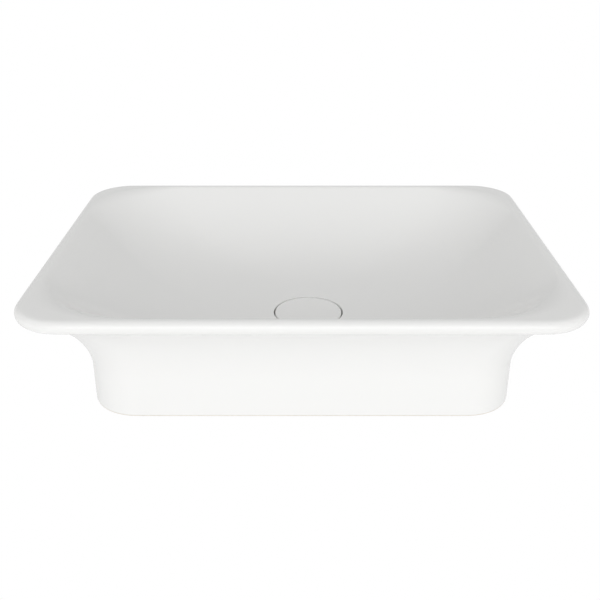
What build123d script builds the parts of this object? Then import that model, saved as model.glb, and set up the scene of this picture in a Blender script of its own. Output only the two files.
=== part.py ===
from build123d import *
import math
import os

# Ceramic countertop basin with a push-open waste under a flush ceramic cap.
# The origin is the centre of the foot's outline, in the plane of the countertop.
# +Z is up, +X is to the user's right and -Y faces the user. All sizes are in millimetres.

# Rim and outside of the basin
basin_width = 500.0
basin_depth = 380.0
basin_height = 120.0
rim_corner = 45.0
rim_thickness = 13.0
rim_land = 10.0
rim_top_round = 5.0
rim_under_round = 4.5
rim_inner_round = 8.0
cove_setback = 3.0
cove_drop = 67.0
cove_fullness = 1.2
cove_steps = 7
foot_width = 400.0
foot_depth = 290.0
foot_corner = 46.0
skirt_wall = 10.0
foot_edge_round = 1.5

# Bowl: a mouth with rounder corners than the rim, a wall that leans in, then a soft turn to the floor
bowl_depth = 81.0
bowl_mouth_corner = 100.0
bowl_lean_in = 55.0
bowl_lean_drop = 45.0
floor_inset = 60.0
floor_drop = 76.0
bowl_wall_corner = 50.0
floor_straight = 10.0
bowl_steps = 10
floor_thickness = 12.0
drain_offset = 7.0
drain_land_radius = 41.0
drain_land_square = 1.0

# Waste boss, recess and hole in the ceramic
recess_radius = 37.5
recess_depth = 11.0
recess_edge_round = 1.5
boss_radius = 47.0
boss_thickness = 10.0
waste_hole_radius = 23.0
cut_margin = 1.0

# Ceramic cap, the pad under it and its carrier
cap_radius = 35.5
cap_thickness = 6.0
cap_edge_round = 1.5
cap_foot_chamfer = 0.8
cap_socket_depth = 1.0
cap_socket_clearance = 0.5
bond_pad_thickness = 0.6
carrier_radius = 20.5
carrier_top_thickness = 1.6
carrier_groove_height = 2.2
carrier_groove_radius = 17.0
carrier_keeper_radius = 18.6
carrier_keeper_thickness = 1.6
carrier_boss_radius = 7.0
carrier_boss_length = 8.0
carrier_tap_margin = 2.0
seal_clearance = 0.3

# Waste body
flange_radius = 33.0
flange_thickness = 2.5
flange_edge_round = 0.8
flange_gasket_thickness = 1.5
flange_gasket_inset = 1.0
flange_neck_radius = 22.5
flange_neck_height = 6.0
cone_mouth_radius = 22.5
cone_height = 6.0
tail_radius = 20.95
tail_bore_radius = 18.3
tail_length = 73.5
tail_end_chamfer = 1.2
relief_below_nut = 2.0
relief_width = 2.0
relief_depth = 0.9
hub_radius = 8.5
hub_height = 8.0
hub_above_end = 10.0
hub_tap_radius = 5.0
spoke_count = 3
spoke_width = 3.0
spoke_root = 0.8

# Clamping stack under the boss
tail_washer_clearance = 0.3
under_gasket_radius = 31.0
under_gasket_foot_radius = 29.0
under_gasket_height = 6.0
gasket_nose_height = 3.0
gasket_nose_clearance = 0.2
gasket_nose_taper = 0.8
friction_washer_thickness = 1.5
back_nut_across_flats = 55.0
back_nut_height = 9.0
back_nut_corner_bevel = 2.0

# Latch cartridge
sleeve_radius = 8.5
sleeve_bore_radius = 7.0
sleeve_height = 40.0
sleeve_floor = 2.5
sleeve_hex_across_flats = 17.0
sleeve_hex_height = 5.0
stub_length = 9.0
stub_end_chamfer = 0.8
pedestal_height = 5.0
pedestal_back = 4.0
pedestal_half_width = 3.5
ring_groove_depth = 0.4
ring_inner_radius = 6.0
ring_thickness = 0.8
ring_gap = 4.0
ring_below_top = 0.5
bush_height = 3.1
running_clearance = 0.06
o_ring_wire = 1.5
o_ring_seat_clearance = 0.02

# Plunger, stud and nut
cap_rise = 9.0
plunger_shaft_radius = 4.5
plunger_top_gap = 1.3
collar_clearance = 0.1
collar_height = 3.3
collar_stop_gap = 0.2
stem_radius = 5.0
stem_floor_gap = 1.0
stem_flat = 3.0
stud_radius = 3.0
stud_in_plunger = 10.5
stud_end_gap = 0.5
locknut_across_flats = 10.0
locknut_height = 3.2

# Latch pin and its track in the plunger
pin_wire = 1.4
pin_bend = 1.0
pin_arm = 14.5
pin_swing = 2.0
pin_flat_gap = 0.2
pivot_depth = 3.5
pivot_above_floor = 2.5
pivot_clearance = 0.05
follower_bite = 1.0
track_clearance = 0.15
track_floor_gap = 0.2
track_catch_out = 2.2
track_catch_low = 3.0
track_overtravel = 1.3

# Spring
spring_wire = 1.2
spring_mean_radius = 6.15
spring_turns = 8
spring_end_gap = 0.45
spring_seat_thickness = 0.5
spring_seat_width = 1.6

# Heights, each worked out from the piece that it rests on
drain_level = basin_height - bowl_depth
recess_floor = drain_level - recess_depth
boss_under = recess_floor - boss_thickness
flange_under = recess_floor + flange_gasket_thickness
flange_top = flange_under + flange_thickness
cap_under = drain_level - cap_thickness
carrier_top = cap_under + cap_socket_depth - bond_pad_thickness
groove_top = carrier_top - carrier_top_thickness
groove_bottom = groove_top - carrier_groove_height
keeper_bottom = groove_bottom - carrier_keeper_thickness
carrier_under = keeper_bottom - carrier_boss_length
tap_top = carrier_top - carrier_tap_margin
tail_end = flange_under - tail_length
hub_bottom = tail_end + hub_above_end
hub_top = hub_bottom + hub_height
sleeve_top = hub_top + sleeve_height
sleeve_inside = hub_top + sleeve_floor
pedestal_top = sleeve_inside + pedestal_height
ring_top = sleeve_top - ring_below_top
ring_bottom = ring_top - ring_thickness
bush_bottom = ring_bottom - bush_height
plunger_top = carrier_under - locknut_height - plunger_top_gap
collar_top = bush_bottom - collar_stop_gap - cap_rise
collar_bottom = collar_top - collar_height
stem_bottom = pedestal_top + stem_floor_gap
gasket_bottom = boss_under - under_gasket_height
washer_bottom = gasket_bottom - friction_washer_thickness
nut_bottom = washer_bottom - back_nut_height
pivot_height = sleeve_inside + pivot_above_floor
follower_height = pivot_height + pin_arm
arm_x = stem_flat + pin_flat_gap + pin_wire / 2
swing_angle = math.asin(pin_swing / pin_arm)


def at_drain(shape):
    """Moves a shape made round the Z axis to the waste's axis."""
    return Pos(drain_offset, 0, 0) * shape


def rod(radius, low, high):
    """Upright cylinder on the Z axis between two heights."""
    return Pos(0, 0, low) * Cylinder(radius, high - low, align=(Align.CENTER, Align.CENTER, Align.MIN))


def ring(inner_radius, outer_radius, low, high):
    """Upright ring on the Z axis between two heights."""
    return rod(outer_radius, low, high) - rod(inner_radius, low, high)


def cone(low_radius, high_radius, low, high):
    """Upright cone frustum on the Z axis between two heights."""
    frustum = Cone(low_radius, high_radius, high - low, align=(Align.CENTER, Align.CENTER, Align.MIN))
    return Pos(0, 0, low) * frustum


def hexagon(across_flats, low, high):
    """Upright hexagonal prism on the Z axis."""
    outline = RegularPolygon(across_flats / 2, 6, major_radius=False)
    return extrude(Pos(0, 0, low) * outline, high - low)


def plan(half_x, half_y, corner, height, centre_x=0.0):
    """Level rounded rectangle: the plan of the basin at one height."""
    return Pos(centre_x, 0, height) * RectangleRounded(2 * half_x, 2 * half_y, corner)


def bezier(t, start, first_handle, second_handle, end):
    """Value of a cubic curve at t, from 0 at its start to 1 at its end."""
    s = 1 - t
    return s**3 * start + 3 * s * s * t * first_handle + 3 * s * t * t * second_handle + t**3 * end


def cove_plan(step):
    """Plan of the flared underside, from under the rim to the top of the foot."""
    angle = math.pi / 2 * step / cove_steps
    inward = math.sin(angle) ** cove_fullness
    downward = 1 - max(math.cos(angle), 0.0) ** cove_fullness
    half_x = basin_width / 2 - cove_setback
    half_y = basin_depth / 2 - cove_setback
    half_x += (foot_width / 2 - half_x) * inward
    half_y += (foot_depth / 2 - half_y) * inward
    corner = rim_corner + (foot_corner - rim_corner) * inward
    return plan(half_x, half_y, corner, basin_height - rim_thickness - cove_drop * downward)


def bowl_plan(step):
    """Plan of the bowl's surface, from the rim's inner edge to the land round the waste."""
    t = step / bowl_steps
    rim_x = basin_width / 2 - rim_land
    rim_y = basin_depth / 2 - rim_land
    half_x = bezier(t, rim_x, rim_x - bowl_lean_in, rim_x - floor_inset, drain_land_radius)
    half_y = bezier(t, rim_y, rim_y - bowl_lean_in, rim_y - floor_inset, drain_land_radius)
    floor_corner = rim_y - floor_inset - floor_straight
    land_corner = drain_land_radius - drain_land_square
    corner = bezier(t, bowl_mouth_corner, bowl_wall_corner, floor_corner, land_corner)
    drop = bezier(t, 0, bowl_lean_drop, floor_drop, bowl_depth)
    centre_x = bezier(t, 0, 0, drain_offset, drain_offset)
    return plan(half_x, half_y, corner, basin_height - drop, centre_x)


def bowl_form():
    """Solid of the bowl's inside."""
    return loft([bowl_plan(step) for step in range(bowl_steps + 1)])


def basin_body():
    """The ceramic casting: rim, cove, foot skirt, bowl, and the boss and recess for the waste."""
    rim = extrude(
        plan(basin_width / 2, basin_depth / 2, rim_corner, basin_height - rim_thickness), rim_thickness
    )
    rim = fillet(rim.faces().sort_by(Axis.Z)[-1].edges(), rim_top_round)
    rim = fillet(rim.faces().sort_by(Axis.Z)[0].edges(), rim_under_round)
    cove = loft([cove_plan(step) for step in range(cove_steps + 1)])
    skirt_top = basin_height - rim_thickness - cove_drop
    skirt = extrude(plan(foot_width / 2, foot_depth / 2, foot_corner, 0), skirt_top)
    skirt = fillet(skirt.faces().sort_by(Axis.Z)[0].edges(), foot_edge_round)
    body = rim + cove + skirt

    bowl = bowl_form()
    hollow = extrude(
        plan(foot_width / 2 - skirt_wall, foot_depth / 2 - skirt_wall, foot_corner - skirt_wall, 0),
        basin_height - rim_thickness,
    )
    hollow -= Pos(0, 0, -floor_thickness) * bowl
    hollow -= at_drain(rod(boss_radius, boss_under, basin_height))
    body = body - bowl - hollow
    inner_edge = body.faces().filter_by(Plane.XY).sort_by(Axis.Z)[-1].inner_wires()[0].edges()
    body = fillet(inner_edge, rim_inner_round)

    body -= at_drain(rod(recess_radius, recess_floor, basin_height))
    recess_edges = body.edges().filter_by(GeomType.CIRCLE)
    recess_edges = recess_edges.filter_by(lambda e: abs(e.radius - recess_radius) < 0.01)
    body = fillet(recess_edges.sort_by(Axis.Z)[-1], recess_edge_round)
    return body - at_drain(rod(waste_hole_radius, boss_under - cut_margin, recess_floor + cut_margin))


def waste_cap():
    """Ceramic cap, flush with the bowl's floor, with a shallow socket under it for the carrier."""
    cap = rod(cap_radius, cap_under, drain_level)
    cap = fillet(cap.faces().sort_by(Axis.Z)[-1].edges(), cap_edge_round)
    cap = chamfer(cap.faces().sort_by(Axis.Z)[0].edges(), cap_foot_chamfer)
    return cap - rod(carrier_radius + cap_socket_clearance, cap_under, cap_under + cap_socket_depth)


def cap_bond_pad():
    """Adhesive pad between the cap and the carrier."""
    return rod(carrier_radius, carrier_top, carrier_top + bond_pad_thickness)


def cone_radius(height):
    """Radius of the waste's cone seat at a height."""
    share = (height - (flange_top - cone_height)) / cone_height
    return tail_bore_radius + (cone_mouth_radius - tail_bore_radius) * share


def cap_carrier():
    """Brass disc under the cap, with the seal's groove and a tapped boss."""
    carrier = rod(carrier_radius, groove_top, carrier_top)
    carrier += rod(carrier_groove_radius, groove_bottom, groove_top)
    carrier += rod(carrier_keeper_radius, keeper_bottom, groove_bottom)
    carrier += rod(carrier_boss_radius, carrier_under, keeper_bottom)
    return carrier - rod(stud_radius, carrier_under, tap_top)


def cap_seal():
    """Rubber ring in the carrier's groove, bevelled to the cone that it closes on."""
    low_radius = cone_radius(groove_bottom) - seal_clearance
    high_radius = cone_radius(groove_top) - seal_clearance
    return cone(low_radius, high_radius, groove_bottom, groove_top) - rod(
        carrier_groove_radius, groove_bottom, groove_top
    )


def stem_stud():
    """Stud that joins the carrier to the plunger."""
    stud = rod(stud_radius, plunger_top - stud_in_plunger, tap_top - stud_end_gap)
    ends = stud.faces().filter_by(Plane.XY).edges()
    return chamfer(ends, stud_end_gap)


def stem_locknut():
    """Thin nut that locks the stud against the carrier's boss."""
    nut = hexagon(locknut_across_flats, carrier_under - locknut_height, carrier_under)
    return nut - rod(stud_radius, carrier_under - locknut_height, carrier_under)


def track_leg(start, end):
    """One straight leg of the latch track, as a rounded slot cut into the plunger's flat."""
    width = pin_wire + 2 * track_clearance
    depth = follower_bite + track_floor_gap
    length = math.dist(start, end)
    angle = math.degrees(math.atan2(end[1] - start[1], end[0] - start[0]))
    flat_face = Plane(origin=(stem_flat, 0, 0), x_dir=(0, 1, 0), z_dir=(1, 0, 0))
    middle = ((start[0] + end[0]) / 2, (start[1] + end[1]) / 2)
    slot = SlotCenterToCenter(length, width, rotation=angle)
    return extrude(flat_face * (Pos(*middle) * slot), -depth)


def latch_plunger():
    """Plunger: upper shaft, stop collar, and a flatted stem with the heart-shaped latch track."""
    plunger = rod(plunger_shaft_radius, collar_top, plunger_top)
    plunger += rod(sleeve_bore_radius - collar_clearance, collar_bottom, collar_top)
    stem = rod(stem_radius, stem_bottom, collar_bottom)
    stem_middle = (stem_bottom + collar_bottom) / 2
    stem -= Pos(stem_flat + stem_radius, 0, stem_middle) * Box(
        2 * stem_radius, 4 * stem_radius, collar_bottom - stem_bottom
    )
    notch = (0.0, follower_height)
    pocket_drop = cap_rise + pin_arm * (1 - math.cos(swing_angle))
    pocket = (-pin_swing, follower_height - pocket_drop)
    catch_low = (track_catch_out, follower_height - track_catch_low)
    catch_top = (track_catch_out / 2, follower_height + track_overtravel)
    release_top = (-track_clearance, follower_height + track_overtravel / 2)
    legs = [(notch, pocket), (pocket, catch_low), (catch_low, catch_top), (catch_top, release_top)]
    legs.append((release_top, notch))
    for start, end in legs:
        stem -= track_leg(start, end)
    plunger += stem
    return plunger - rod(stud_radius, plunger_top - stud_in_plunger, plunger_top)


def latch_pin():
    """Bent wire: its lower end turns in the sleeve's pedestal, its upper end follows the track."""
    route = FilletPolyline(
        (stem_flat - pivot_depth, 0, pivot_height),
        (arm_x, 0, pivot_height),
        (arm_x, 0, follower_height),
        (stem_flat - follower_bite, 0, follower_height),
        radius=pin_bend,
    )
    start_face = Plane(origin=route @ 0, z_dir=route % 0) * Circle(pin_wire / 2)
    return sweep(start_face, route)


def cartridge_sleeve():
    """Sleeve of the latch cartridge, with a spanner hexagon, a threaded stub and the pin's pedestal."""
    sleeve = rod(sleeve_radius, hub_top, sleeve_top)
    sleeve += hexagon(sleeve_hex_across_flats, hub_top, hub_top + sleeve_hex_height)
    stub = rod(hub_tap_radius, hub_top - stub_length, hub_top)
    sleeve += chamfer(stub.faces().sort_by(Axis.Z)[0].edges(), stub_end_chamfer)
    sleeve -= rod(sleeve_bore_radius, sleeve_inside, sleeve_top)
    sleeve -= rod(sleeve_bore_radius + ring_groove_depth, ring_bottom, ring_top)
    pedestal_length = stem_flat + pedestal_back
    pedestal = Box(
        pedestal_length,
        2 * pedestal_half_width,
        pedestal_height,
        align=(Align.MAX, Align.CENTER, Align.MIN),
    )
    sleeve += Pos(stem_flat, 0, sleeve_inside) * pedestal
    pivot_hole = Cylinder(
        pin_wire / 2 + pivot_clearance, 2 * pivot_depth, rotation=(0, 90, 0)
    )
    return sleeve - Pos(stem_flat, 0, pivot_height) * pivot_hole


def spring_seat():
    """Steel washer under the spring."""
    middle = spring_mean_radius
    half_width = spring_seat_width / 2
    return ring(middle - half_width, middle + half_width, sleeve_inside, sleeve_inside + spring_seat_thickness)


def cartridge_spring():
    """Compression spring of round wire. Each half turn is an arc, and the two end turns are wound close."""
    low = sleeve_inside + spring_seat_thickness + spring_wire / 2
    high = collar_bottom - spring_wire / 2
    end_rise = (spring_wire + spring_end_gap) / 2
    open_halves = 2 * spring_turns - 4
    open_rise = (high - low - 4 * end_rise) / open_halves
    rises = [end_rise] * 2 + [open_rise] * open_halves + [end_rise] * 2
    side = 1
    height = low
    arcs = []
    for rise in rises:
        half_chord = math.hypot(spring_mean_radius, rise / 2)
        arcs.append(
            ThreePointArc(
                (side * spring_mean_radius, 0, height),
                (0, side * half_chord, height + rise / 2),
                (-side * spring_mean_radius, 0, height + rise),
            )
        )
        height += rise
        side = -side
    route = Wire(arcs)
    print("spring: least gap between turns", round(2 * end_rise - spring_wire, 2), "mm")
    start_face = Plane(origin=route @ 0, z_dir=route % 0) * Circle(spring_wire / 2)
    return sweep(start_face, route)


def plunger_bush():
    """Guide bush in the sleeve's mouth, grooved inside for the wiper ring."""
    bush = ring(plunger_shaft_radius + running_clearance, sleeve_bore_radius, bush_bottom, ring_bottom)
    groove_radius = plunger_shaft_radius + running_clearance + o_ring_wire + o_ring_seat_clearance
    middle = (bush_bottom + ring_bottom) / 2
    half_height = o_ring_wire / 2 + o_ring_seat_clearance
    return bush - rod(groove_radius, middle - half_height, middle + half_height)


def stem_o_ring():
    """Rubber ring in the bush that wipes the plunger."""
    middle = (bush_bottom + ring_bottom) / 2
    centre_radius = plunger_shaft_radius + running_clearance + o_ring_wire / 2
    return Pos(0, 0, middle) * Torus(centre_radius, o_ring_wire / 2)


def bush_retaining_ring():
    """Open steel ring in the sleeve's groove, above the bush."""
    outer_radius = sleeve_bore_radius + ring_groove_depth
    opening = Pos(-outer_radius, 0, (ring_bottom + ring_top) / 2) * Box(
        outer_radius, ring_gap, 2 * ring_thickness
    )
    return ring(ring_inner_radius, outer_radius, ring_bottom, ring_top) - opening


def waste_body():
    """Chromed brass waste: flange, cone seat, threaded tail, and a tapped hub on spokes.

    A turned relief parts the tail's thread in two: the nut runs above it, the trap below it.
    """
    flange = rod(flange_radius, flange_under, flange_top)
    flange = fillet(flange.faces().sort_by(Axis.Z)[-1].edges(), flange_edge_round)
    neck = rod(flange_neck_radius, flange_under - flange_neck_height, flange_under)
    neck = chamfer(neck.faces().sort_by(Axis.Z)[0].edges(), flange_neck_radius - tail_radius)
    tail = rod(tail_radius, tail_end, flange_under)
    tail = chamfer(tail.faces().sort_by(Axis.Z)[0].edges(), tail_end_chamfer)
    relief_top = nut_bottom - relief_below_nut
    relief_bottom = relief_top - relief_width
    tail -= ring(tail_radius - relief_depth, tail_radius + cut_margin, relief_bottom, relief_top)
    shell = flange + neck + tail
    shell -= rod(tail_bore_radius, tail_end, flange_top)
    shell -= cone(tail_bore_radius, cone_mouth_radius, flange_top - cone_height, flange_top)
    spoke = Pos(0, 0, hub_bottom) * Box(
        tail_bore_radius + spoke_root,
        spoke_width,
        hub_height,
        align=(Align.MIN, Align.CENTER, Align.MIN),
    )
    for index in range(spoke_count):
        shell += Rot(0, 0, index * 360 / spoke_count) * spoke
    shell += rod(hub_radius, hub_bottom, hub_top)
    return shell - rod(hub_tap_radius, hub_bottom, hub_top)


def flange_gasket():
    """Rubber ring between the flange and the recess."""
    outer_radius = flange_radius - flange_gasket_inset
    return ring(waste_hole_radius, outer_radius, recess_floor, flange_under)


def under_gasket():
    """Tapered rubber ring under the boss, with a nose that centres it in the ceramic hole."""
    gasket = cone(under_gasket_foot_radius, under_gasket_radius, gasket_bottom, boss_under)
    nose_radius = waste_hole_radius - gasket_nose_clearance
    gasket += cone(nose_radius, nose_radius - gasket_nose_taper, boss_under, boss_under + gasket_nose_height)
    return gasket - rod(tail_radius, gasket_bottom, boss_under + gasket_nose_height)


def friction_washer():
    """Plastic washer between the nut and the rubber."""
    bore_radius = tail_radius + tail_washer_clearance
    return ring(bore_radius, under_gasket_foot_radius, washer_bottom, gasket_bottom)


def back_nut():
    """Hexagon nut on the tail, with its corners bevelled above and below."""
    nut = hexagon(back_nut_across_flats, nut_bottom, washer_bottom)
    corner_radius = back_nut_across_flats / math.sqrt(3)
    blank = rod(corner_radius, nut_bottom, washer_bottom)
    ends = blank.faces().filter_by(Plane.XY).edges()
    nut = nut & chamfer(ends, back_nut_corner_bevel / 2, back_nut_corner_bevel)
    return nut - rod(tail_radius, nut_bottom, washer_bottom)


on_waste_axis = [
    waste_cap,
    cap_bond_pad,
    cap_carrier,
    cap_seal,
    stem_stud,
    stem_locknut,
    latch_plunger,
    latch_pin,
    cartridge_sleeve,
    spring_seat,
    cartridge_spring,
    plunger_bush,
    stem_o_ring,
    bush_retaining_ring,
    waste_body,
    flange_gasket,
    under_gasket,
    friction_washer,
    back_nut,
]

os.makedirs("parts", exist_ok=True)
export_step(basin_body(), "parts/basin_body.step")
for piece in on_waste_axis:
    export_step(at_drain(piece()), f"parts/{piece.__name__}.step")
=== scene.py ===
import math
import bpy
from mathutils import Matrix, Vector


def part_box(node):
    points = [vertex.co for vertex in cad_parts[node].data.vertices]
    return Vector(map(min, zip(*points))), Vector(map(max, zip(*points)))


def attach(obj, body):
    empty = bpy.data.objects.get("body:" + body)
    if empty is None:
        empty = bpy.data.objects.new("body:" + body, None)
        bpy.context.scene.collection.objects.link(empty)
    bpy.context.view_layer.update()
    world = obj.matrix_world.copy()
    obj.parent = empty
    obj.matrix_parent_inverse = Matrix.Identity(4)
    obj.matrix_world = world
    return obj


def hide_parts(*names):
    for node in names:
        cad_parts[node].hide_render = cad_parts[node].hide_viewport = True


bl_info = {
    "name": "Countertop Basin",
    "version": (1, 0, 0),
    "blender": (4, 5, 0),
    "location": "View3D > Sidebar > Basin",
    "description": "Glazed countertop basin with a push-open waste, dressed around its frame",
    "category": "Add Mesh",
}

import bmesh
import bpy
from bpy.props import FloatProperty, FloatVectorProperty, IntProperty, PointerProperty
from mathutils import Matrix, Vector

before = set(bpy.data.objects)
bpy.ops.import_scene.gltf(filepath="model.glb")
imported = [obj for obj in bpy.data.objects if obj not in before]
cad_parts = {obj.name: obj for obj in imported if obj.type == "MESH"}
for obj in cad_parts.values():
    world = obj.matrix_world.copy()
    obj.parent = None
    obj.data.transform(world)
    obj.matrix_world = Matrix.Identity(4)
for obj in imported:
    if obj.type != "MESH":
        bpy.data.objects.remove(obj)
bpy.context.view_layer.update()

TURN = 2 * math.pi
MM = 0.001

# Places read from the frame, in metres
BASIN_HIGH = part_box("basin_body")[1]
CAP_LOW, CAP_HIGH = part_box("waste_cap")
WASTE_LOW, WASTE_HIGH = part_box("waste_body")
NUT_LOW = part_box("back_nut")[0]
FLANGE_GASKET_LOW, FLANGE_GASKET_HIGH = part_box("flange_gasket")
AXIS_X = (CAP_LOW.x + CAP_HIGH.x) / 2
DRAIN_LEVEL = CAP_HIGH.z
RECESS_FLOOR = FLANGE_GASKET_LOW.z

# Places along the bowl's curve, which runs from 0 at the rim to 1 at the land round the waste
MOUTH_SHARE = 0.045
UNDERSIDE_END = 0.985

# Small sizes that no user would change
HOLE_BEVEL = 0.6 * MM
HOLE_LOW_BEVEL = 1 * MM
BOSS_BEVEL = 1.5 * MM
LAND_MARGIN = 1 * MM
FLAT_MARGIN = 0.5 * MM
SOCKET_PLAY = 0.5 * MM
SOCKET_BEVEL = 0.3 * MM
CAP_CENTRE = 3 * MM
NECK_BEVEL = 0.5 * MM
TAIL_INNER_BEVEL = 0.4 * MM
THREAD_ROOT_OVERLAP = 0.3 * MM
FLOOR_REACH = 15.0


def length(name, default, description):
    """A size in metres that a user would change."""
    return FloatProperty(
        name=name, description=description, default=default, min=0.0, precision=4, unit="LENGTH"
    )


def share(name, default, description, top=1.0):
    """A plain number from nought to top."""
    return FloatProperty(name=name, description=description, default=default, min=0.0, max=top, precision=3)


def colour(name, default, description):
    """A colour, as linear red, green and blue."""
    return FloatVectorProperty(
        name=name, description=description, default=default, min=0.0, max=1.0, size=3, subtype="COLOR"
    )


class CeramicShape(bpy.types.PropertyGroup):
    """Sizes of the glazed body that the frame's box doesn't give."""

    rim_corner: length("Rim corner", 45 * MM, "Radius of the rim's corners in plan")
    rim_thickness: length("Rim thickness", 13 * MM, "Height of the rim's edge")
    rim_land: length("Rim land", 10 * MM, "Width of the flat top of the rim")
    top_round: length("Top rounding", 6 * MM, "Rounding of the rim's upper outer edge")
    under_round: length("Lower rounding", 6.5 * MM, "Rounding of the rim's lower edge")
    inner_round: length("Inner rounding", 8 * MM, "Rounding where the rim turns into the bowl")
    corner_softness: length(
        "Corner softness", 34 * MM, "The same rounding in the middle of the rim's corners"
    )
    cove_setback: length("Cove setback", 3 * MM, "How far the cove starts in from the rim's edge")
    cove_drop: length("Cove drop", 67 * MM, "Height of the concave underside")
    cove_fullness: share("Cove fullness", 1.2, "Exponent of the cove's curve", 3.0)
    foot_width: length("Foot width", 400 * MM, "Width of the foot")
    foot_depth: length("Foot depth", 290 * MM, "Depth of the foot")
    foot_corner: length("Foot corner", 46 * MM, "Radius of the foot's corners in plan")
    foot_round: length("Foot rounding", 1.5 * MM, "Rounding of the foot's lower edge")
    skirt_wall: length("Skirt wall", 10 * MM, "Thickness of the foot's wall")
    floor_wall: length("Bowl wall", 12 * MM, "Thickness of the bowl under its floor")
    lean_in: length("Wall lean", 55 * MM, "How far the bowl's wall leans in")
    lean_drop: length("Wall drop", 45 * MM, "How deep the bowl's wall runs")
    floor_inset: length("Floor inset", 60 * MM, "How far in the bowl's floor starts")
    floor_drop: length("Floor drop", 76 * MM, "Depth of the bowl's floor at its edge")
    mouth_corner: length("Mouth corner", 100 * MM, "Plan radius of the bowl's mouth")
    wall_corner: length("Wall corner", 50 * MM, "Pull on the bowl's plan radius half way down")
    floor_straight: length("Floor straight", 10 * MM, "Straight half stretch at the floor's short sides")
    land_radius: length("Land radius", 41 * MM, "Radius of the flat land round the waste")
    recess_radius: length("Recess radius", 36.7 * MM, "Radius of the recess that holds the waste")
    recess_round: length("Recess rounding", 1.0 * MM, "Rounding of the recess's edge")
    hole_radius: length("Hole radius", 23 * MM, "Radius of the hole for the waste")
    boss_radius: length("Boss radius", 47 * MM, "Radius of the boss round the hole")
    boss_wall: length("Boss thickness", 10 * MM, "Thickness of the ceramic that the waste clamps")
    segments: IntProperty(
        name="Segments", description="Points round the body", default=112, min=32, max=256
    )


class WasteShape(bpy.types.PropertyGroup):
    """Sizes of the waste's visible pieces."""

    cap_edge: length("Cap rounding", 1.5 * MM, "Rounding of the cap's upper edge")
    cap_foot: length("Cap foot", 0.8 * MM, "Bevel of the cap's lower edge")
    cap_crown: length("Cap crown", 0.25 * MM, "How much the middle of the cap stands above its edge")
    thread_pitch: length("Thread pitch", 2.309 * MM, "Rise of the tail's thread in one turn")
    thread_depth: length("Thread depth", 1.3 * MM, "Depth of the tail's thread")
    tail_radius: length("Tail radius", 20.95 * MM, "Radius over the tail's thread")
    tail_bore: length("Tail bore", 18.3 * MM, "Radius of the waterway in the tail")
    tail_chamfer: length("Tail chamfer", 1.2 * MM, "Bevel of the tail's end")
    relief_below: length("Relief below nut", 2 * MM, "How far under the nut the thread relief starts")
    relief_width: length("Relief width", 2 * MM, "Height of the thread relief")
    neck_radius: length(
        "Neck radius", 22.5 * MM, "Radius of the neck under the flange, in the ceramic's hole"
    )
    neck_height: length("Neck height", 6 * MM, "Height of the neck under the flange")
    flange_edge: length("Flange rounding", 0.8 * MM, "Rounding of the flange's upper edge")
    cone_mouth: length("Cone mouth", 22.5 * MM, "Radius of the seat's mouth")
    cone_height: length("Cone height", 6 * MM, "Height of the cone that the seal closes on")
    hub_radius: length("Hub radius", 8.5 * MM, "Radius of the hub that holds the latch")
    hub_bore: length("Hub bore", 5 * MM, "Radius of the hub's tapped hole")
    hub_height: length("Hub height", 8 * MM, "Height of the hub and its spokes")
    hub_above_end: length("Hub above end", 10 * MM, "Height of the hub over the tail's end")
    spoke_width: length("Spoke width", 3 * MM, "Width of each of the three spokes")


class FinishLook(bpy.types.PropertyGroup):
    """Colours and gloss of the finishes."""

    glaze: colour("Glaze", (0.88, 0.88, 0.88), "Colour of the white glaze")
    biscuit: colour("Biscuit", (0.78, 0.74, 0.67), "Colour of the unglazed foot ring")
    brass: colour("Brass", (0.72, 0.52, 0.25), "Colour of the turned brass")
    glaze_roughness: share("Glaze roughness", 0.1, "Roughness of the glaze")


class StudioLook(bpy.types.PropertyGroup):
    """Camera and light of the studio."""

    camera_back: length(
        "Camera distance", 0.8116, "How far the camera stands in front of the basin's middle"
    )
    camera_height: length("Camera height", 0.4341, "Height of the camera above the counter")
    camera_pitch: FloatProperty(
        name="Camera pitch",
        description="Tilt of the camera from straight down",
        default=math.radians(64.79),
        subtype="ANGLE",
    )
    lens: FloatProperty(name="Lens", description="Focal length in millimetres", default=50.68)
    side_shift: FloatProperty(name="Side shift", description="Sideways shift of the lens", default=-0.0029)
    sky_level: share("Sky level", 0.64, "Brightness of the white studio all round", 4.0)
    front_level: share("Front level", 2.6, "Brightness that the big soft light in front adds", 8.0)
    front_focus: FloatProperty(name="Front focus", description="How narrow the front light is", default=8.0)
    front_height: share("Front height", 0.1, "Height of the front light over the horizon", 2.0)
    floor_level: share("Floor level", 0.82, "Light that the white floor throws back", 4.0)


def quarter_travel(turn, half_x, half_y, corner, crowding=4.0):
    """Quarter of a rounded rectangle at a share of a turn, the travel along it and its arc's length.

    Crowding gathers points in the corners.
    """
    quarter, along = divmod(turn * 4, 1.0)
    quarter = int(quarter) % 4
    if quarter % 2:
        along = 1 - along
    arc = corner * math.pi / 2 * crowding
    return quarter, along * (half_y - corner + arc + half_x - corner), arc


def outline_point(turn, half_x, half_y, corner):
    """Point on a rounded rectangle at a share of a full turn."""
    quarter, travel, arc = quarter_travel(turn, half_x, half_y, corner)
    side_x = half_x - corner
    side_y = half_y - corner
    if travel < side_y:
        x, y = half_x, travel
    elif travel < side_y + arc:
        angle = math.pi / 2 * (travel - side_y) / arc
        x = side_x + corner * math.cos(angle)
        y = side_y + corner * math.sin(angle)
    else:
        x, y = side_x - (travel - side_y - arc), half_y
    sign_x = -1 if quarter in (1, 2) else 1
    sign_y = -1 if quarter in (2, 3) else 1
    return sign_x * x, sign_y * y


def corner_share(turn, half_x, half_y, corner):
    """Nought along a rounded rectangle's sides, rising to one in the middle of its corners."""
    _, travel, arc = quarter_travel(turn, half_x, half_y, corner)
    along = min(max((travel - (half_y - corner)) / arc, 0.0), 1.0)
    return math.sin(math.pi * along) ** 2


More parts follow.
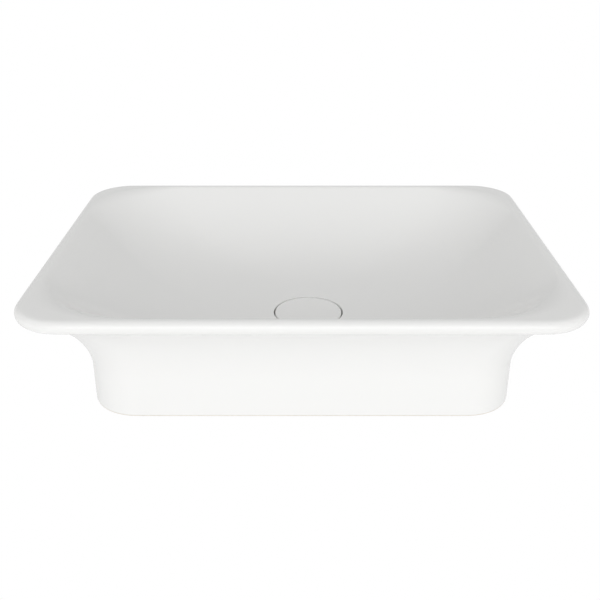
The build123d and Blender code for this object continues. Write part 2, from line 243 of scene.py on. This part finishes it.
def plan_ring(half_x, half_y, corner, height, centre_x=0.0):
    """Places a ring's points on a level rounded rectangle."""

    def place(turn):
        x, y = outline_point(turn, half_x, half_y, corner)
        return Vector((centre_x + x, y, height))

    return place


def round_ring(radius, height):
    """Places a ring's points on a level circle round the waste's axis."""

    def place(turn):
        return Vector((AXIS_X + radius * math.cos(turn * TURN), radius * math.sin(turn * TURN), height))

    return place


class Skin:
    """A skin grown ring by ring. Each point keeps its share of a full turn in a layer."""

    def __init__(self, segments, place):
        self.mesh = bmesh.new()
        self.turn = self.mesh.verts.layers.float.new("turn")
        bmesh.ops.create_circle(self.mesh, segments=segments, radius=1.0)
        for vert in self.mesh.verts:
            vert[self.turn] = math.atan2(vert.co.y, vert.co.x) / TURN % 1.0
            vert.co = place(vert[self.turn])
        self.first = list(self.mesh.edges)
        self.last = list(self.mesh.edges)

    def grow(self, place, finish=0):
        """Extrudes the last ring and moves the new one into place."""
        grown = bmesh.ops.extrude_edge_only(self.mesh, edges=self.last)["geom"]
        new_points = {item for item in grown if isinstance(item, bmesh.types.BMVert)}
        for vert in new_points:
            vert.co = place(vert[self.turn])
        for item in grown:
            if isinstance(item, bmesh.types.BMFace):
                item.material_index = finish
        edges = [item for item in grown if isinstance(item, bmesh.types.BMEdge)]
        self.last = [edge for edge in edges if new_points.issuperset(edge.verts)]

    def join_ends(self, finish=0):
        """Bridges the last ring to the first one."""
        made = bmesh.ops.bridge_loops(self.mesh, edges=self.first + self.last)
        for face in made["faces"]:
            face.material_index = finish

    def cap_ends(self):
        """Fills the first ring and the last one."""
        for loop in (self.first, self.last):
            bmesh.ops.edgeloop_fill(self.mesh, edges=loop)


def link_piece(name, data):
    """Puts a mesh into the scene as an object at the origin."""
    piece = bpy.data.objects.new(name, data)
    bpy.context.scene.collection.objects.link(piece)
    return piece


def finish_piece(name, mesh, finishes, body, stands_for, smooth_levels=0, sharp_angle=None):
    """Turns a bmesh into a piece that rides on a body and stands for CAD nodes."""
    bmesh.ops.recalc_face_normals(mesh, faces=mesh.faces)
    data = bpy.data.meshes.new(name)
    mesh.to_mesh(data)
    mesh.free()
    data.polygons.foreach_set("use_smooth", [True] * len(data.polygons))
    if sharp_angle is not None:
        data.set_sharp_from_angle(angle=sharp_angle)
    for finish in finishes:
        data.materials.append(finish)
    piece = link_piece(name, data)
    if smooth_levels:
        subdivision = piece.modifiers.new("Smooth", "SUBSURF")
        subdivision.levels = smooth_levels
        subdivision.render_levels = smooth_levels
    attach(piece, body)
    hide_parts(*stands_for)
    return piece


def add_node(tree, kind, inputs, **settings):
    """Adds a shader node, sets it and fills or links its inputs."""
    node = tree.nodes.new(kind)
    for key, value in settings.items():
        setattr(node, key, value)
    for key, value in inputs.items():
        if isinstance(value, bpy.types.NodeSocket):
            tree.links.new(value, node.inputs[key])
        else:
            node.inputs[key].default_value = value
    return node


def new_finish(name):
    """Starts a material and returns it with its tree, its shader and its Object coordinates."""
    finish = bpy.data.materials.new(name)
    finish.use_nodes = True
    tree = finish.node_tree
    place = tree.nodes.new("ShaderNodeTexCoord").outputs["Object"]
    return finish, tree, tree.nodes["Principled BSDF"], place


def blended(tree, low, high, factor):
    """Mix of two colours by a factor socket."""
    mix = add_node(tree, "ShaderNodeMix", {}, data_type="RGBA")
    colour_sockets = [socket for socket in mix.inputs if socket.type == "RGBA"]
    colour_sockets[0].default_value = (*low, 1)
    colour_sockets[1].default_value = (*high, 1)
    tree.links.new(factor, mix.inputs["Factor"])
    return [socket for socket in mix.outputs if socket.type == "RGBA"][0]


def scaled(rgb, factor):
    """A colour made lighter or darker by one factor."""
    return tuple(min(channel * factor, 1.0) for channel in rgb)


def white_glaze(look):
    """Clear glaze over a white body: slow waves in its surface and a faint orange peel."""
    finish, tree, shader, place = new_finish("white_glaze")
    cloud = add_node(tree, "ShaderNodeTexNoise", {"Vector": place, "Scale": 9.0, "Detail": 2.0})
    waves = add_node(tree, "ShaderNodeTexNoise", {"Vector": place, "Scale": 22.0, "Detail": 1.0})
    peel = add_node(tree, "ShaderNodeTexNoise", {"Vector": place, "Scale": 520.0, "Detail": 2.0})
    body_colour = blended(tree, scaled(look.glaze, 0.985), look.glaze, cloud.outputs["Fac"])
    tree.links.new(body_colour, shader.inputs["Base Color"])
    slow = add_node(
        tree, "ShaderNodeBump", {"Height": waves.outputs["Fac"], "Strength": 0.2, "Distance": 0.6 * MM}
    )
    fine = add_node(
        tree,
        "ShaderNodeBump",
        {
            "Height": peel.outputs["Fac"],
            "Strength": 0.12,
            "Distance": 0.05 * MM,
            "Normal": slow.outputs["Normal"],
        },
    )
    tree.links.new(fine.outputs["Normal"], shader.inputs["Normal"])
    shader.inputs["Roughness"].default_value = look.glaze_roughness
    shader.inputs["IOR"].default_value = 1.52
    return finish


def biscuit_ware(look):
    """Unglazed ground foot: dry, slightly warm and finely gritty."""
    finish, tree, shader, place = new_finish("biscuit_ware")
    grit = add_node(tree, "ShaderNodeTexNoise", {"Vector": place, "Scale": 1400.0, "Detail": 4.0})
    stain = add_node(tree, "ShaderNodeTexNoise", {"Vector": place, "Scale": 35.0, "Detail": 3.0})
    body_colour = blended(
        tree, scaled(look.biscuit, 0.93), scaled(look.biscuit, 1.05), stain.outputs["Fac"]
    )
    tree.links.new(body_colour, shader.inputs["Base Color"])
    bump = add_node(
        tree, "ShaderNodeBump", {"Height": grit.outputs["Fac"], "Strength": 0.5, "Distance": 0.15 * MM}
    )
    tree.links.new(bump.outputs["Normal"], shader.inputs["Normal"])
    shader.inputs["Roughness"].default_value = 0.85
    return finish


def lathe_rings(tree, place, ring_pitch):
    """Fine turned rings round the waste's axis, as a height from nought to one."""
    centred = add_node(tree, "ShaderNodeMapping", {"Vector": place, "Location": (-AXIS_X, 0, 0)})
    return add_node(
        tree,
        "ShaderNodeTexWave",
        {
            "Vector": centred.outputs["Vector"],
            "Scale": 1 / ring_pitch / TURN,
            "Distortion": 0.4,
            "Detail": 1.0,
        },
        wave_type="RINGS",
        rings_direction="SPHERICAL",
    )


def metal(name, rgb, roughness, ring_pitch=0.3 * MM, ring_strength=0.15, patch=0.06):
    """Turned metal: lathe rings, and patches where it was handled."""
    finish, tree, shader, place = new_finish(name)
    rings = lathe_rings(tree, place, ring_pitch)
    patches = add_node(tree, "ShaderNodeTexNoise", {"Vector": place, "Scale": 120.0, "Detail": 3.0})
    body_colour = blended(tree, scaled(rgb, 1 - patch), scaled(rgb, 1 + patch), patches.outputs["Fac"])
    tree.links.new(body_colour, shader.inputs["Base Color"])
    worn = add_node(
        tree,
        "ShaderNodeMapRange",
        {"Value": patches.outputs["Fac"], "To Min": roughness * 0.8, "To Max": roughness * 1.3},
    )
    tree.links.new(worn.outputs["Result"], shader.inputs["Roughness"])
    bump = add_node(
        tree,
        "ShaderNodeBump",
        {"Height": rings.outputs["Fac"], "Strength": ring_strength, "Distance": 0.03 * MM},
    )
    tree.links.new(bump.outputs["Normal"], shader.inputs["Normal"])
    shader.inputs["Metallic"].default_value = 1.0
    return finish


def moulded(name, rgb, roughness, grain=900.0, grain_strength=0.3):
    """Moulded rubber or plastic: fine grain and slightly uneven colour."""
    finish, tree, shader, place = new_finish(name)
    grains = add_node(tree, "ShaderNodeTexNoise", {"Vector": place, "Scale": grain, "Detail": 3.0})
    bloom = add_node(tree, "ShaderNodeTexNoise", {"Vector": place, "Scale": 90.0, "Detail": 2.0})
    body_colour = blended(tree, scaled(rgb, 0.85), scaled(rgb, 1.12), bloom.outputs["Fac"])
    tree.links.new(body_colour, shader.inputs["Base Color"])
    bump = add_node(
        tree,
        "ShaderNodeBump",
        {"Height": grains.outputs["Fac"], "Strength": grain_strength, "Distance": 0.08 * MM},
    )
    tree.links.new(bump.outputs["Normal"], shader.inputs["Normal"])
    shader.inputs["Roughness"].default_value = roughness
    return finish


def finish_named(name):
    """A finish by its name, made the first time that it is asked for."""
    if name in bpy.data.materials:
        return bpy.data.materials[name]
    look = bpy.context.scene.basin_finish
    makers = {
        "white_glaze": lambda: white_glaze(look),
        "biscuit_ware": lambda: biscuit_ware(look),
        "bright_chrome": lambda: metal(
            "bright_chrome", (0.78, 0.79, 0.8), 0.07, ring_strength=0.03, patch=0.02
        ),
        "turned_brass": lambda: metal("turned_brass", look.brass, 0.26),
        "zinc_plate": lambda: metal("zinc_plate", (0.62, 0.63, 0.64), 0.33),
        "spring_steel": lambda: metal("spring_steel", (0.5, 0.51, 0.53), 0.24, ring_strength=0.05),
        "black_rubber": lambda: moulded("black_rubber", (0.025, 0.025, 0.027), 0.62),
        "grey_pad": lambda: moulded("grey_pad", (0.3, 0.3, 0.31), 0.8, grain=1500.0, grain_strength=0.6),
        "natural_plastic": lambda: moulded("natural_plastic", (0.75, 0.75, 0.71), 0.4, grain_strength=0.1),
    }
    return makers[name]()


def bezier(t, start, first_handle, second_handle, end):
    """Value of a cubic curve at t, from 0 at its start to 1 at its end."""
    s = 1 - t
    return s**3 * start + 3 * s * s * t * first_handle + 3 * s * t * t * second_handle + t**3 * end


def bowl_ring(shape, t, lower=0.0):
    """Ring on the bowl's surface: t is 0 at the rim and 1 at the land round the waste."""
    rim_x = BASIN_HIGH.x - shape.rim_land
    rim_y = BASIN_HIGH.y - shape.rim_land
    half_x = bezier(t, rim_x, rim_x - shape.lean_in, rim_x - shape.floor_inset, shape.land_radius)
    half_y = bezier(t, rim_y, rim_y - shape.lean_in, rim_y - shape.floor_inset, shape.land_radius)
    floor_corner = rim_y - shape.floor_inset - shape.floor_straight
    land_corner = shape.land_radius - LAND_MARGIN
    corner = bezier(t, shape.mouth_corner, shape.wall_corner, floor_corner, land_corner)
    drop = bezier(t, 0, shape.lean_drop, shape.floor_drop, BASIN_HIGH.z - DRAIN_LEVEL)
    centre_x = bezier(t, 0, 0, AXIS_X, AXIS_X)
    return plan_ring(half_x, half_y, corner, BASIN_HIGH.z - drop - lower, centre_x)


def arc_steps(count):
    """Sines and cosines of a quarter turn in even steps, its two ends left out."""
    for step in range(1, count):
        angle = math.pi / 2 * step / count
        yield math.sin(angle), math.cos(angle)


def grow_recess(skin, shape):
    """From the waste's hole across the recess's floor and up its wall to the land."""
    radius = shape.recess_radius
    rounding = shape.recess_round
    for reach in (HOLE_BEVEL, 10 * HOLE_BEVEL, radius - shape.hole_radius - 2 * rounding):
        skin.grow(round_ring(shape.hole_radius + reach, RECESS_FLOOR))
    for sine, cosine in arc_steps(3):
        skin.grow(round_ring(radius - rounding * (1 - sine), RECESS_FLOOR + rounding * (1 - cosine)))
    skin.grow(round_ring(radius, RECESS_FLOOR + rounding))
    skin.grow(round_ring(radius, (RECESS_FLOOR + DRAIN_LEVEL) / 2))
    skin.grow(round_ring(radius, DRAIN_LEVEL - rounding))
    for sine, cosine in arc_steps(4):
        skin.grow(round_ring(radius + rounding * (1 - cosine), DRAIN_LEVEL - rounding * (1 - sine)))
    skin.grow(round_ring(radius + rounding, DRAIN_LEVEL))
    skin.grow(round_ring(radius + rounding + LAND_MARGIN, DRAIN_LEVEL))


def grow_bowl(skin, shape):
    """From the land round the waste up the bowl to the rim's inner edge."""
    steps = 30
    for step in range(steps + 1):
        t = 1 - step / steps
        if t > MOUTH_SHARE:
            skin.grow(bowl_ring(shape, t))


def grow_rim(skin, shape):
    """Over the rim: its inner rounding, flat top, outer edge and lower rounding."""
    top = BASIN_HIGH.z
    full_x, full_y = BASIN_HIGH.x, BASIN_HIGH.y

    slope = math.atan2(shape.lean_drop, shape.lean_in)

    def mouth_ring(angle, flat=0.0):
        """Ring on the rounding between bowl and rim: angle is 0 at the flat top."""

        def place(turn):
            mouth_x = full_x - shape.rim_land
            mouth_y = full_y - shape.rim_land
            softer = corner_share(turn, mouth_x, mouth_y, shape.mouth_corner)
            rounding = shape.inner_round + (shape.corner_softness - shape.inner_round) * softer
            grown = rounding * (math.tan(slope / 2) - math.sin(angle)) + flat
            x, y = outline_point(turn, mouth_x + grown, mouth_y + grown, shape.mouth_corner + grown)
            return Vector((x, y, top - rounding * (1 - math.cos(angle))))

        return place

    def edge_ring(inset, height):
        return plan_ring(full_x - inset, full_y - inset, shape.rim_corner - inset, height)

    for part in (1.0, 0.8, 0.6, 0.4, 0.2, 0.0):
        skin.grow(mouth_ring(slope * part))
    skin.grow(mouth_ring(0.0, FLAT_MARGIN))
    skin.grow(edge_ring(shape.top_round, top))
    for sine, cosine in arc_steps(5):
        skin.grow(edge_ring(shape.top_round * (1 - sine), top - shape.top_round * (1 - cosine)))
    skin.grow(edge_ring(0.0, top - shape.top_round))
    low = top - shape.rim_thickness
    skin.grow(edge_ring(0.0, low + shape.under_round))
    for sine, cosine in arc_steps(5):
        skin.grow(edge_ring(shape.under_round * (1 - cosine), low + shape.under_round * (1 - sine)))
    skin.grow(edge_ring(shape.under_round, low))


def cove_ring(shape, angle):
    """Ring on the concave underside, from under the rim at 0 to the top of the foot at a quarter turn."""
    inward = math.sin(angle) ** shape.cove_fullness
    downward = 1 - max(math.cos(angle), 0.0) ** shape.cove_fullness
    half_x = BASIN_HIGH.x - shape.cove_setback
    half_y = BASIN_HIGH.y - shape.cove_setback
    half_x += (shape.foot_width / 2 - half_x) * inward
    half_y += (shape.foot_depth / 2 - half_y) * inward
    corner = shape.rim_corner + (shape.foot_corner - shape.rim_corner) * inward
    height = BASIN_HIGH.z - shape.rim_thickness - shape.cove_drop * downward
    return plan_ring(half_x, half_y, corner, height)


def grow_outside(skin, shape):
    """Down the cove and the foot's skirt to the counter."""
    steps = 18
    first_clear_of_rim = 2
    for step in range(first_clear_of_rim, steps + 1):
        skin.grow(cove_ring(shape, math.pi / 2 * step / steps))
    half_x, half_y, corner = shape.foot_width / 2, shape.foot_depth / 2, shape.foot_corner
    skirt_top = BASIN_HIGH.z - shape.rim_thickness - shape.cove_drop
    for height in (skirt_top * 0.66, skirt_top * 0.33, 2.5 * shape.foot_round):
        skin.grow(plan_ring(half_x, half_y, corner, height))
    skin.grow(plan_ring(half_x, half_y, corner, shape.foot_round))
    for sine, cosine in arc_steps(3):
        inset = shape.foot_round * (1 - cosine)
        skin.grow(
            plan_ring(half_x - inset, half_y - inset, corner - inset, shape.foot_round * (1 - sine)), 1
        )
    inner = shape.skirt_wall
    for inset in (shape.foot_round, inner / 2, inner - shape.foot_round):
        skin.grow(plan_ring(half_x - inset, half_y - inset, corner - inset, 0.0), 1)
    skin.grow(plan_ring(half_x - inner, half_y - inner, corner - inner, shape.foot_round), 1)


def within(point, half_x, half_y, corner):
    """True where a point lies inside a rounded rectangle round the origin."""
    out_x = max(abs(point.x) - (half_x - corner), 0.0)
    out_y = max(abs(point.y) - (half_y - corner), 0.0)
    return math.hypot(out_x, out_y) <= corner


def grow_hollow(skin, shape):
    """Up the foot's inner wall, across the bowl's underside and down the boss to the hole."""
    half_x = shape.foot_width / 2 - shape.skirt_wall
    half_y = shape.foot_depth / 2 - shape.skirt_wall
    corner = shape.foot_corner - shape.skirt_wall
    meetings = {}

    def meeting(turn):
        """Share of the way down the bowl where its underside meets the foot's inner wall."""
        key = round(turn, 5)
        if key not in meetings:
            low, high = 0.0, 1.0
            for _ in range(24):
                middle = (low + high) / 2
                if within(bowl_ring(shape, middle, shape.floor_wall)(turn), half_x, half_y, corner):
                    high = middle
                else:
                    low = middle
            meetings[key] = high
        return meetings[key]

    def wall_ring(part):
        """Ring up the wall: part is 0 at the counter and 1 where the wall meets the bowl."""

        def place(turn):
            point = bowl_ring(shape, meeting(turn), shape.floor_wall)(turn)
            return Vector((point.x, point.y, point.z * part))

        return place

    def under_ring(part):
        """Ring across the underside: part is 0 at the wall and 1 at the boss."""

        def place(turn):
            start = meeting(turn)
            return bowl_ring(shape, start + (UNDERSIDE_END - start) * part, shape.floor_wall)(turn)

        return place

    for part in (0.12, 0.35, 0.6, 0.82, 0.93):
        skin.grow(wall_ring(part), 2)
    steps = 14
    for step in range(1, steps + 1):
        skin.grow(under_ring(step / steps), 2)
    boss_under = RECESS_FLOOR - shape.boss_wall
    boss = shape.boss_radius
    skin.grow(round_ring(boss, DRAIN_LEVEL - shape.floor_wall - BOSS_BEVEL), 2)
    skin.grow(round_ring(boss, boss_under + BOSS_BEVEL), 2)
    skin.grow(round_ring(boss - BOSS_BEVEL, boss_under), 2)
    skin.grow(round_ring((boss + shape.hole_radius) / 2, boss_under), 1)
    skin.grow(round_ring(shape.hole_radius + HOLE_LOW_BEVEL, boss_under), 1)
    skin.grow(round_ring(shape.hole_radius, boss_under + HOLE_LOW_BEVEL), 1)


class BASIN_OT_ceramic_body(bpy.types.Operator):
    """Glazed body: recess, bowl, rim, cove, foot and the hollow under the bowl"""

    bl_idname = "basin.ceramic_body"
    bl_label = "Ceramic body"

    def execute(self, context):
        shape = context.scene.basin_ceramic
        skin = Skin(shape.segments, round_ring(shape.hole_radius, RECESS_FLOOR - HOLE_BEVEL))
        grow_recess(skin, shape)
        grow_bowl(skin, shape)
        grow_rim(skin, shape)
        grow_outside(skin, shape)
        grow_hollow(skin, shape)
        skin.join_ends(1)
        finishes = [finish_named("white_glaze"), finish_named("biscuit_ware"), finish_named("white_glaze")]
        finish_piece("ceramic_body", skin.mesh, finishes, "basin", ["basin_body"], 1)
        return {"FINISHED"}


class BASIN_OT_ceramic_cap(bpy.types.Operator):
    """Round glazed cap with a softened edge and a faint crown"""

    bl_idname = "basin.ceramic_cap"
    bl_label = "Ceramic cap"

    def execute(self, context):
        shape = context.scene.basin_waste
        radius = (CAP_HIGH.x - CAP_LOW.x) / 2
        socket_low, socket_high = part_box("cap_bond_pad")
        socket_radius = (socket_high.x - socket_low.x) / 2 + SOCKET_PLAY
        top = CAP_HIGH.z
        skin = Skin(96, round_ring(CAP_CENTRE, top))
        for reach in (0.25, 0.5, 0.75, 0.92):
            skin.grow(round_ring(radius * reach, top - shape.cap_crown * reach**2))
        edge_top = top - shape.cap_crown
        rounding = shape.cap_edge
        skin.grow(round_ring(radius - rounding, edge_top))
        for sine, cosine in arc_steps(4):
            skin.grow(round_ring(radius - rounding * (1 - sine), edge_top - rounding * (1 - cosine)))
        skin.grow(round_ring(radius, edge_top - rounding))
        skin.grow(round_ring(radius, CAP_LOW.z + shape.cap_foot))
        skin.grow(round_ring(radius - shape.cap_foot, CAP_LOW.z), 1)
        skin.grow(round_ring(socket_radius + SOCKET_BEVEL, CAP_LOW.z), 1)
        skin.grow(round_ring(socket_radius, CAP_LOW.z + SOCKET_BEVEL), 1)
        skin.grow(round_ring(socket_radius, socket_high.z), 1)
        skin.grow(round_ring(socket_radius * 0.5, socket_high.z), 1)
        skin.cap_ends()
        finishes = [finish_named("white_glaze"), finish_named("biscuit_ware")]
        finish_piece("ceramic_cap", skin.mesh, finishes, "waste_plug", ["waste_cap"], 1)
        return {"FINISHED"}


def turn_profile(mesh, profile, steps=96):
    """Turns a closed profile of (radius, height) points round the waste's axis."""
    points = [mesh.verts.new((AXIS_X + radius, 0, height)) for radius, height in profile]
    edges = [mesh.edges.new((points[i - 1], points[i])) for i in range(len(points))]
    bmesh.ops.spin(
        mesh,
        geom=points + edges,
        cent=(AXIS_X, 0, 0),
        axis=(0, 0, 1),
        angle=TURN,
        steps=steps,
        use_merge=True,
    )


def wind_thread(mesh, shape, low, high, steps=48):
    """Winds a thread's ridge up a core between two heights."""
    crest = shape.tail_radius
    root = crest - shape.thread_depth
    pitch = shape.thread_pitch
    start = low + 0.5 * pitch
    turns = (high - low - pitch) / pitch
    flank = [
        (root - THREAD_ROOT_OVERLAP, -0.46 * pitch),
        (root, -0.4 * pitch),
        (crest, -0.1 * pitch),
        (crest, 0.1 * pitch),
        (root, 0.4 * pitch),
        (root - THREAD_ROOT_OVERLAP, 0.46 * pitch),
    ]
    points = [mesh.verts.new((AXIS_X + radius, 0, start + height)) for radius, height in flank]
    face = mesh.faces.new(points)
    count = int(turns * steps)
    bmesh.ops.spin(
        mesh,
        geom=[face],
        cent=(AXIS_X, 0, 0),
        axis=(0, 0, 1),
        dvec=(0, 0, pitch / steps),
        angle=TURN * count / steps,
        steps=count,
        use_merge=False,
    )


def add_spokes(mesh, reach, height, size, count=3):
    """Sets spokes of one size round the waste's axis, each centred at a reach and a height."""
    for spoke in range(count):
        made = bmesh.ops.create_cube(mesh, size=1.0)["verts"]
        bmesh.ops.scale(mesh, verts=made, vec=size)
        bmesh.ops.translate(mesh, verts=made, vec=(reach, 0, height))
        turned = Matrix.Rotation(TURN * spoke / count, 3, "Z")
        bmesh.ops.rotate(mesh, verts=made, cent=(0, 0, 0), matrix=turned)
        bmesh.ops.translate(mesh, verts=made, vec=(AXIS_X, 0, 0))


class BASIN_OT_threaded_waste(bpy.types.Operator):
    """Chromed waste: flange, cone seat, threaded tail with its relief, and the spoked hub"""

    bl_idname = "basin.threaded_waste"
    bl_label = "Threaded waste"

    def execute(self, context):
        shape = context.scene.basin_waste
        mesh = bmesh.new()
        top = WASTE_HIGH.z
        end = WASTE_LOW.z
        flange = (WASTE_HIGH.x - WASTE_LOW.x) / 2
        flange_under = FLANGE_GASKET_HIGH.z
        neck_low = flange_under - shape.neck_height
        root = shape.tail_radius - shape.thread_depth
        relief_top = NUT_LOW.z - shape.relief_below
        relief_low = relief_top - shape.relief_width
        edge = shape.flange_edge
        bore = shape.tail_bore
        bevel = shape.tail_chamfer
        turn_profile(
            mesh,
            [
                (shape.cone_mouth, top),
                (flange - edge, top),
                (flange - 0.3 * edge, top - 0.3 * edge),
                (flange, top - edge),
                (flange, flange_under),
                (shape.neck_radius, flange_under),
                (shape.neck_radius, neck_low + NECK_BEVEL),
                (shape.neck_radius - NECK_BEVEL, neck_low),
                (root, neck_low),
                (root, end + bevel),
                (root - 0.6 * bevel, end),
                (bore + TAIL_INNER_BEVEL, end),
                (bore, end + TAIL_INNER_BEVEL),
                (bore, top - shape.cone_height),
            ],
        )
        wind_thread(mesh, shape, relief_top, neck_low)
        wind_thread(mesh, shape, end + THREAD_ROOT_OVERLAP, relief_low)
        hub_low = end + shape.hub_above_end
        hub_high = hub_low + shape.hub_height
        hub_edge = NECK_BEVEL
        turn_profile(
            mesh,
            [
                (shape.hub_bore, hub_low + hub_edge),
                (shape.hub_bore + hub_edge, hub_low),
                (shape.hub_radius - hub_edge, hub_low),
                (shape.hub_radius, hub_low + hub_edge),
                (shape.hub_radius, hub_high),
                (shape.hub_bore, hub_high),
            ],
            48,
        )
        inner = (shape.hub_radius + shape.hub_bore) / 2
        outer = (bore + root) / 2
        spoke_size = (outer - inner, shape.spoke_width, hub_high - hub_low - 2 * hub_edge)
        add_spokes(mesh, (inner + outer) / 2, (hub_low + hub_high) / 2, spoke_size)
        bmesh.ops.remove_doubles(mesh, verts=mesh.verts, dist=1e-7)
        finish_piece(
            "threaded_waste",
            mesh,
            [finish_named("bright_chrome")],
            "basin",
            ["waste_body"],
            sharp_angle=math.radians(30),
        )
        return {"FINISHED"}


class BASIN_OT_frame_finishes(bpy.types.Operator):
    """Finishes of the pieces whose shape comes with the frame"""

    bl_idname = "basin.frame_finishes"
    bl_label = "Metal, rubber and plastic"

    def execute(self, context):
        worn = {
            "turned_brass": ["back_nut", "cap_carrier", "cartridge_sleeve", "latch_plunger"],
            "zinc_plate": ["stem_stud", "stem_locknut", "spring_seat"],
            "spring_steel": ["latch_pin", "cartridge_spring", "bush_retaining_ring"],
            "black_rubber": ["flange_gasket", "under_gasket", "cap_seal", "stem_o_ring"],
            "grey_pad": ["cap_bond_pad"],
            "natural_plastic": ["friction_washer", "plunger_bush"],
        }
        for name, nodes in worn.items():
            for node in nodes:
                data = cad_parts[node].data
                data.materials.clear()
                data.materials.append(finish_named(name))
        return {"FINISHED"}


def seen_white(tree, level):
    """A brightness that lights with its level and looks white."""
    seen = tree.nodes.new("ShaderNodeLightPath").outputs["Is Camera Ray"]
    white = add_node(tree, "ShaderNodeMix", {}, data_type="FLOAT")
    tree.links.new(seen, white.inputs[0])
    if isinstance(level, bpy.types.NodeSocket):
        tree.links.new(level, white.inputs[2])
    else:
        white.inputs[2].default_value = level
    white.inputs[3].default_value = 1.0
    return white.outputs[0]


def studio_sky(studio):
    """World light: white all round, with one big soft light in front."""
    world = bpy.data.worlds.new("studio_sky")
    bpy.context.scene.world = world
    world.use_nodes = True
    tree = world.node_tree
    direction = tree.nodes.new("ShaderNodeTexCoord").outputs["Generated"]
    towards = Vector((0, -1, studio.front_height)).normalized()
    facing = add_node(tree, "ShaderNodeVectorMath", {0: direction, 1: towards}, operation="DOT_PRODUCT")
    ahead = add_node(tree, "ShaderNodeMath", {0: facing.outputs["Value"], 1: 0.0}, operation="MAXIMUM")
    focus = add_node(
        tree, "ShaderNodeMath", {0: ahead.outputs[0], 1: studio.front_focus}, operation="POWER"
    )
    level = add_node(
        tree, "ShaderNodeMath", {0: focus.outputs[0], 1: studio.front_level, 2: studio.sky_level},
        operation="MULTIPLY_ADD",
    )
    background = tree.nodes["Background"]
    background.inputs["Color"].default_value = (1, 1, 1, 1)
    tree.links.new(seen_white(tree, level.outputs[0]), background.inputs["Strength"])


def studio_floor(studio):
    """White lit floor that the basin stands on."""
    mesh = bmesh.new()
    bmesh.ops.create_grid(mesh, x_segments=1, y_segments=1, size=FLOOR_REACH)
    data = bpy.data.meshes.new("studio_floor")
    mesh.to_mesh(data)
    mesh.free()
    floor = link_piece("studio_floor", data)
    finish, tree, shader, _ = new_finish("lit_white_floor")
    shader.inputs["Base Color"].default_value = (0, 0, 0, 1)
    shader.inputs["Roughness"].default_value = 1.0
    shader.inputs["Specular IOR Level"].default_value = 0.0
    shader.inputs["Emission Color"].default_value = (1, 1, 1, 1)
    tree.links.new(seen_white(tree, studio.floor_level), shader.inputs["Emission Strength"])
    data.materials.append(finish)


class BASIN_OT_studio(bpy.types.Operator):
    """White floor, soft light and the camera"""

    bl_idname = "basin.studio"
    bl_label = "Studio"

    def execute(self, context):
        studio = context.scene.basin_studio
        studio_sky(studio)
        studio_floor(studio)
        camera_data = bpy.data.cameras.new("camera")
        camera_data.sensor_width = 36.0
        camera_data.lens = studio.lens
        camera_data.shift_x = studio.side_shift
        camera_data.clip_start = 0.01
        camera = bpy.data.objects.new("camera", camera_data)
        camera.location = (0, -studio.camera_back, studio.camera_height)
        camera.rotation_euler = (studio.camera_pitch, 0, 0)
        context.scene.collection.objects.link(camera)
        context.scene.camera = camera
        context.scene.view_settings.view_transform = "Standard"
        return {"FINISHED"}


class BASIN_PT_panel(bpy.types.Panel):
    """Lists the basin's makers and sizes"""

    bl_label = "Countertop basin"
    bl_idname = "BASIN_PT_panel"
    bl_space_type = "VIEW_3D"
    bl_region_type = "UI"
    bl_category = "Basin"

    def draw(self, context):
        for maker in MAKERS:
            self.layout.operator(maker.bl_idname)
        for name in SETTINGS:
            group = getattr(context.scene, name)
            box = self.layout.box()
            for key in group.bl_rna.properties.keys():
                if key not in ("rna_type", "name"):
                    box.prop(group, key)


MAKERS = (
    BASIN_OT_ceramic_body,
    BASIN_OT_ceramic_cap,
    BASIN_OT_threaded_waste,
    BASIN_OT_frame_finishes,
    BASIN_OT_studio,
)
SETTINGS = {
    "basin_ceramic": CeramicShape,
    "basin_waste": WasteShape,
    "basin_finish": FinishLook,
    "basin_studio": StudioLook,
}


def register():
    """Registers the classes and puts their settings on the scene."""
    for name, group in SETTINGS.items():
        bpy.utils.register_class(group)
        setattr(bpy.types.Scene, name, PointerProperty(type=group))
    for maker in MAKERS:
        bpy.utils.register_class(maker)
    bpy.utils.register_class(BASIN_PT_panel)


def unregister():
    """Takes the classes and their settings away again."""
    bpy.utils.unregister_class(BASIN_PT_panel)
    for maker in reversed(MAKERS):
        bpy.utils.unregister_class(maker)
    for name, group in SETTINGS.items():
        delattr(bpy.types.Scene, name)
        bpy.utils.unregister_class(group)


def main():
    """Makes every piece, then the studio."""
    register()
    bpy.ops.basin.ceramic_body()
    bpy.ops.basin.ceramic_cap()
    bpy.ops.basin.threaded_waste()
    bpy.ops.basin.frame_finishes()
    bpy.ops.basin.studio()
    bpy.context.view_layer.update()


if __name__ == "__main__":
    main()
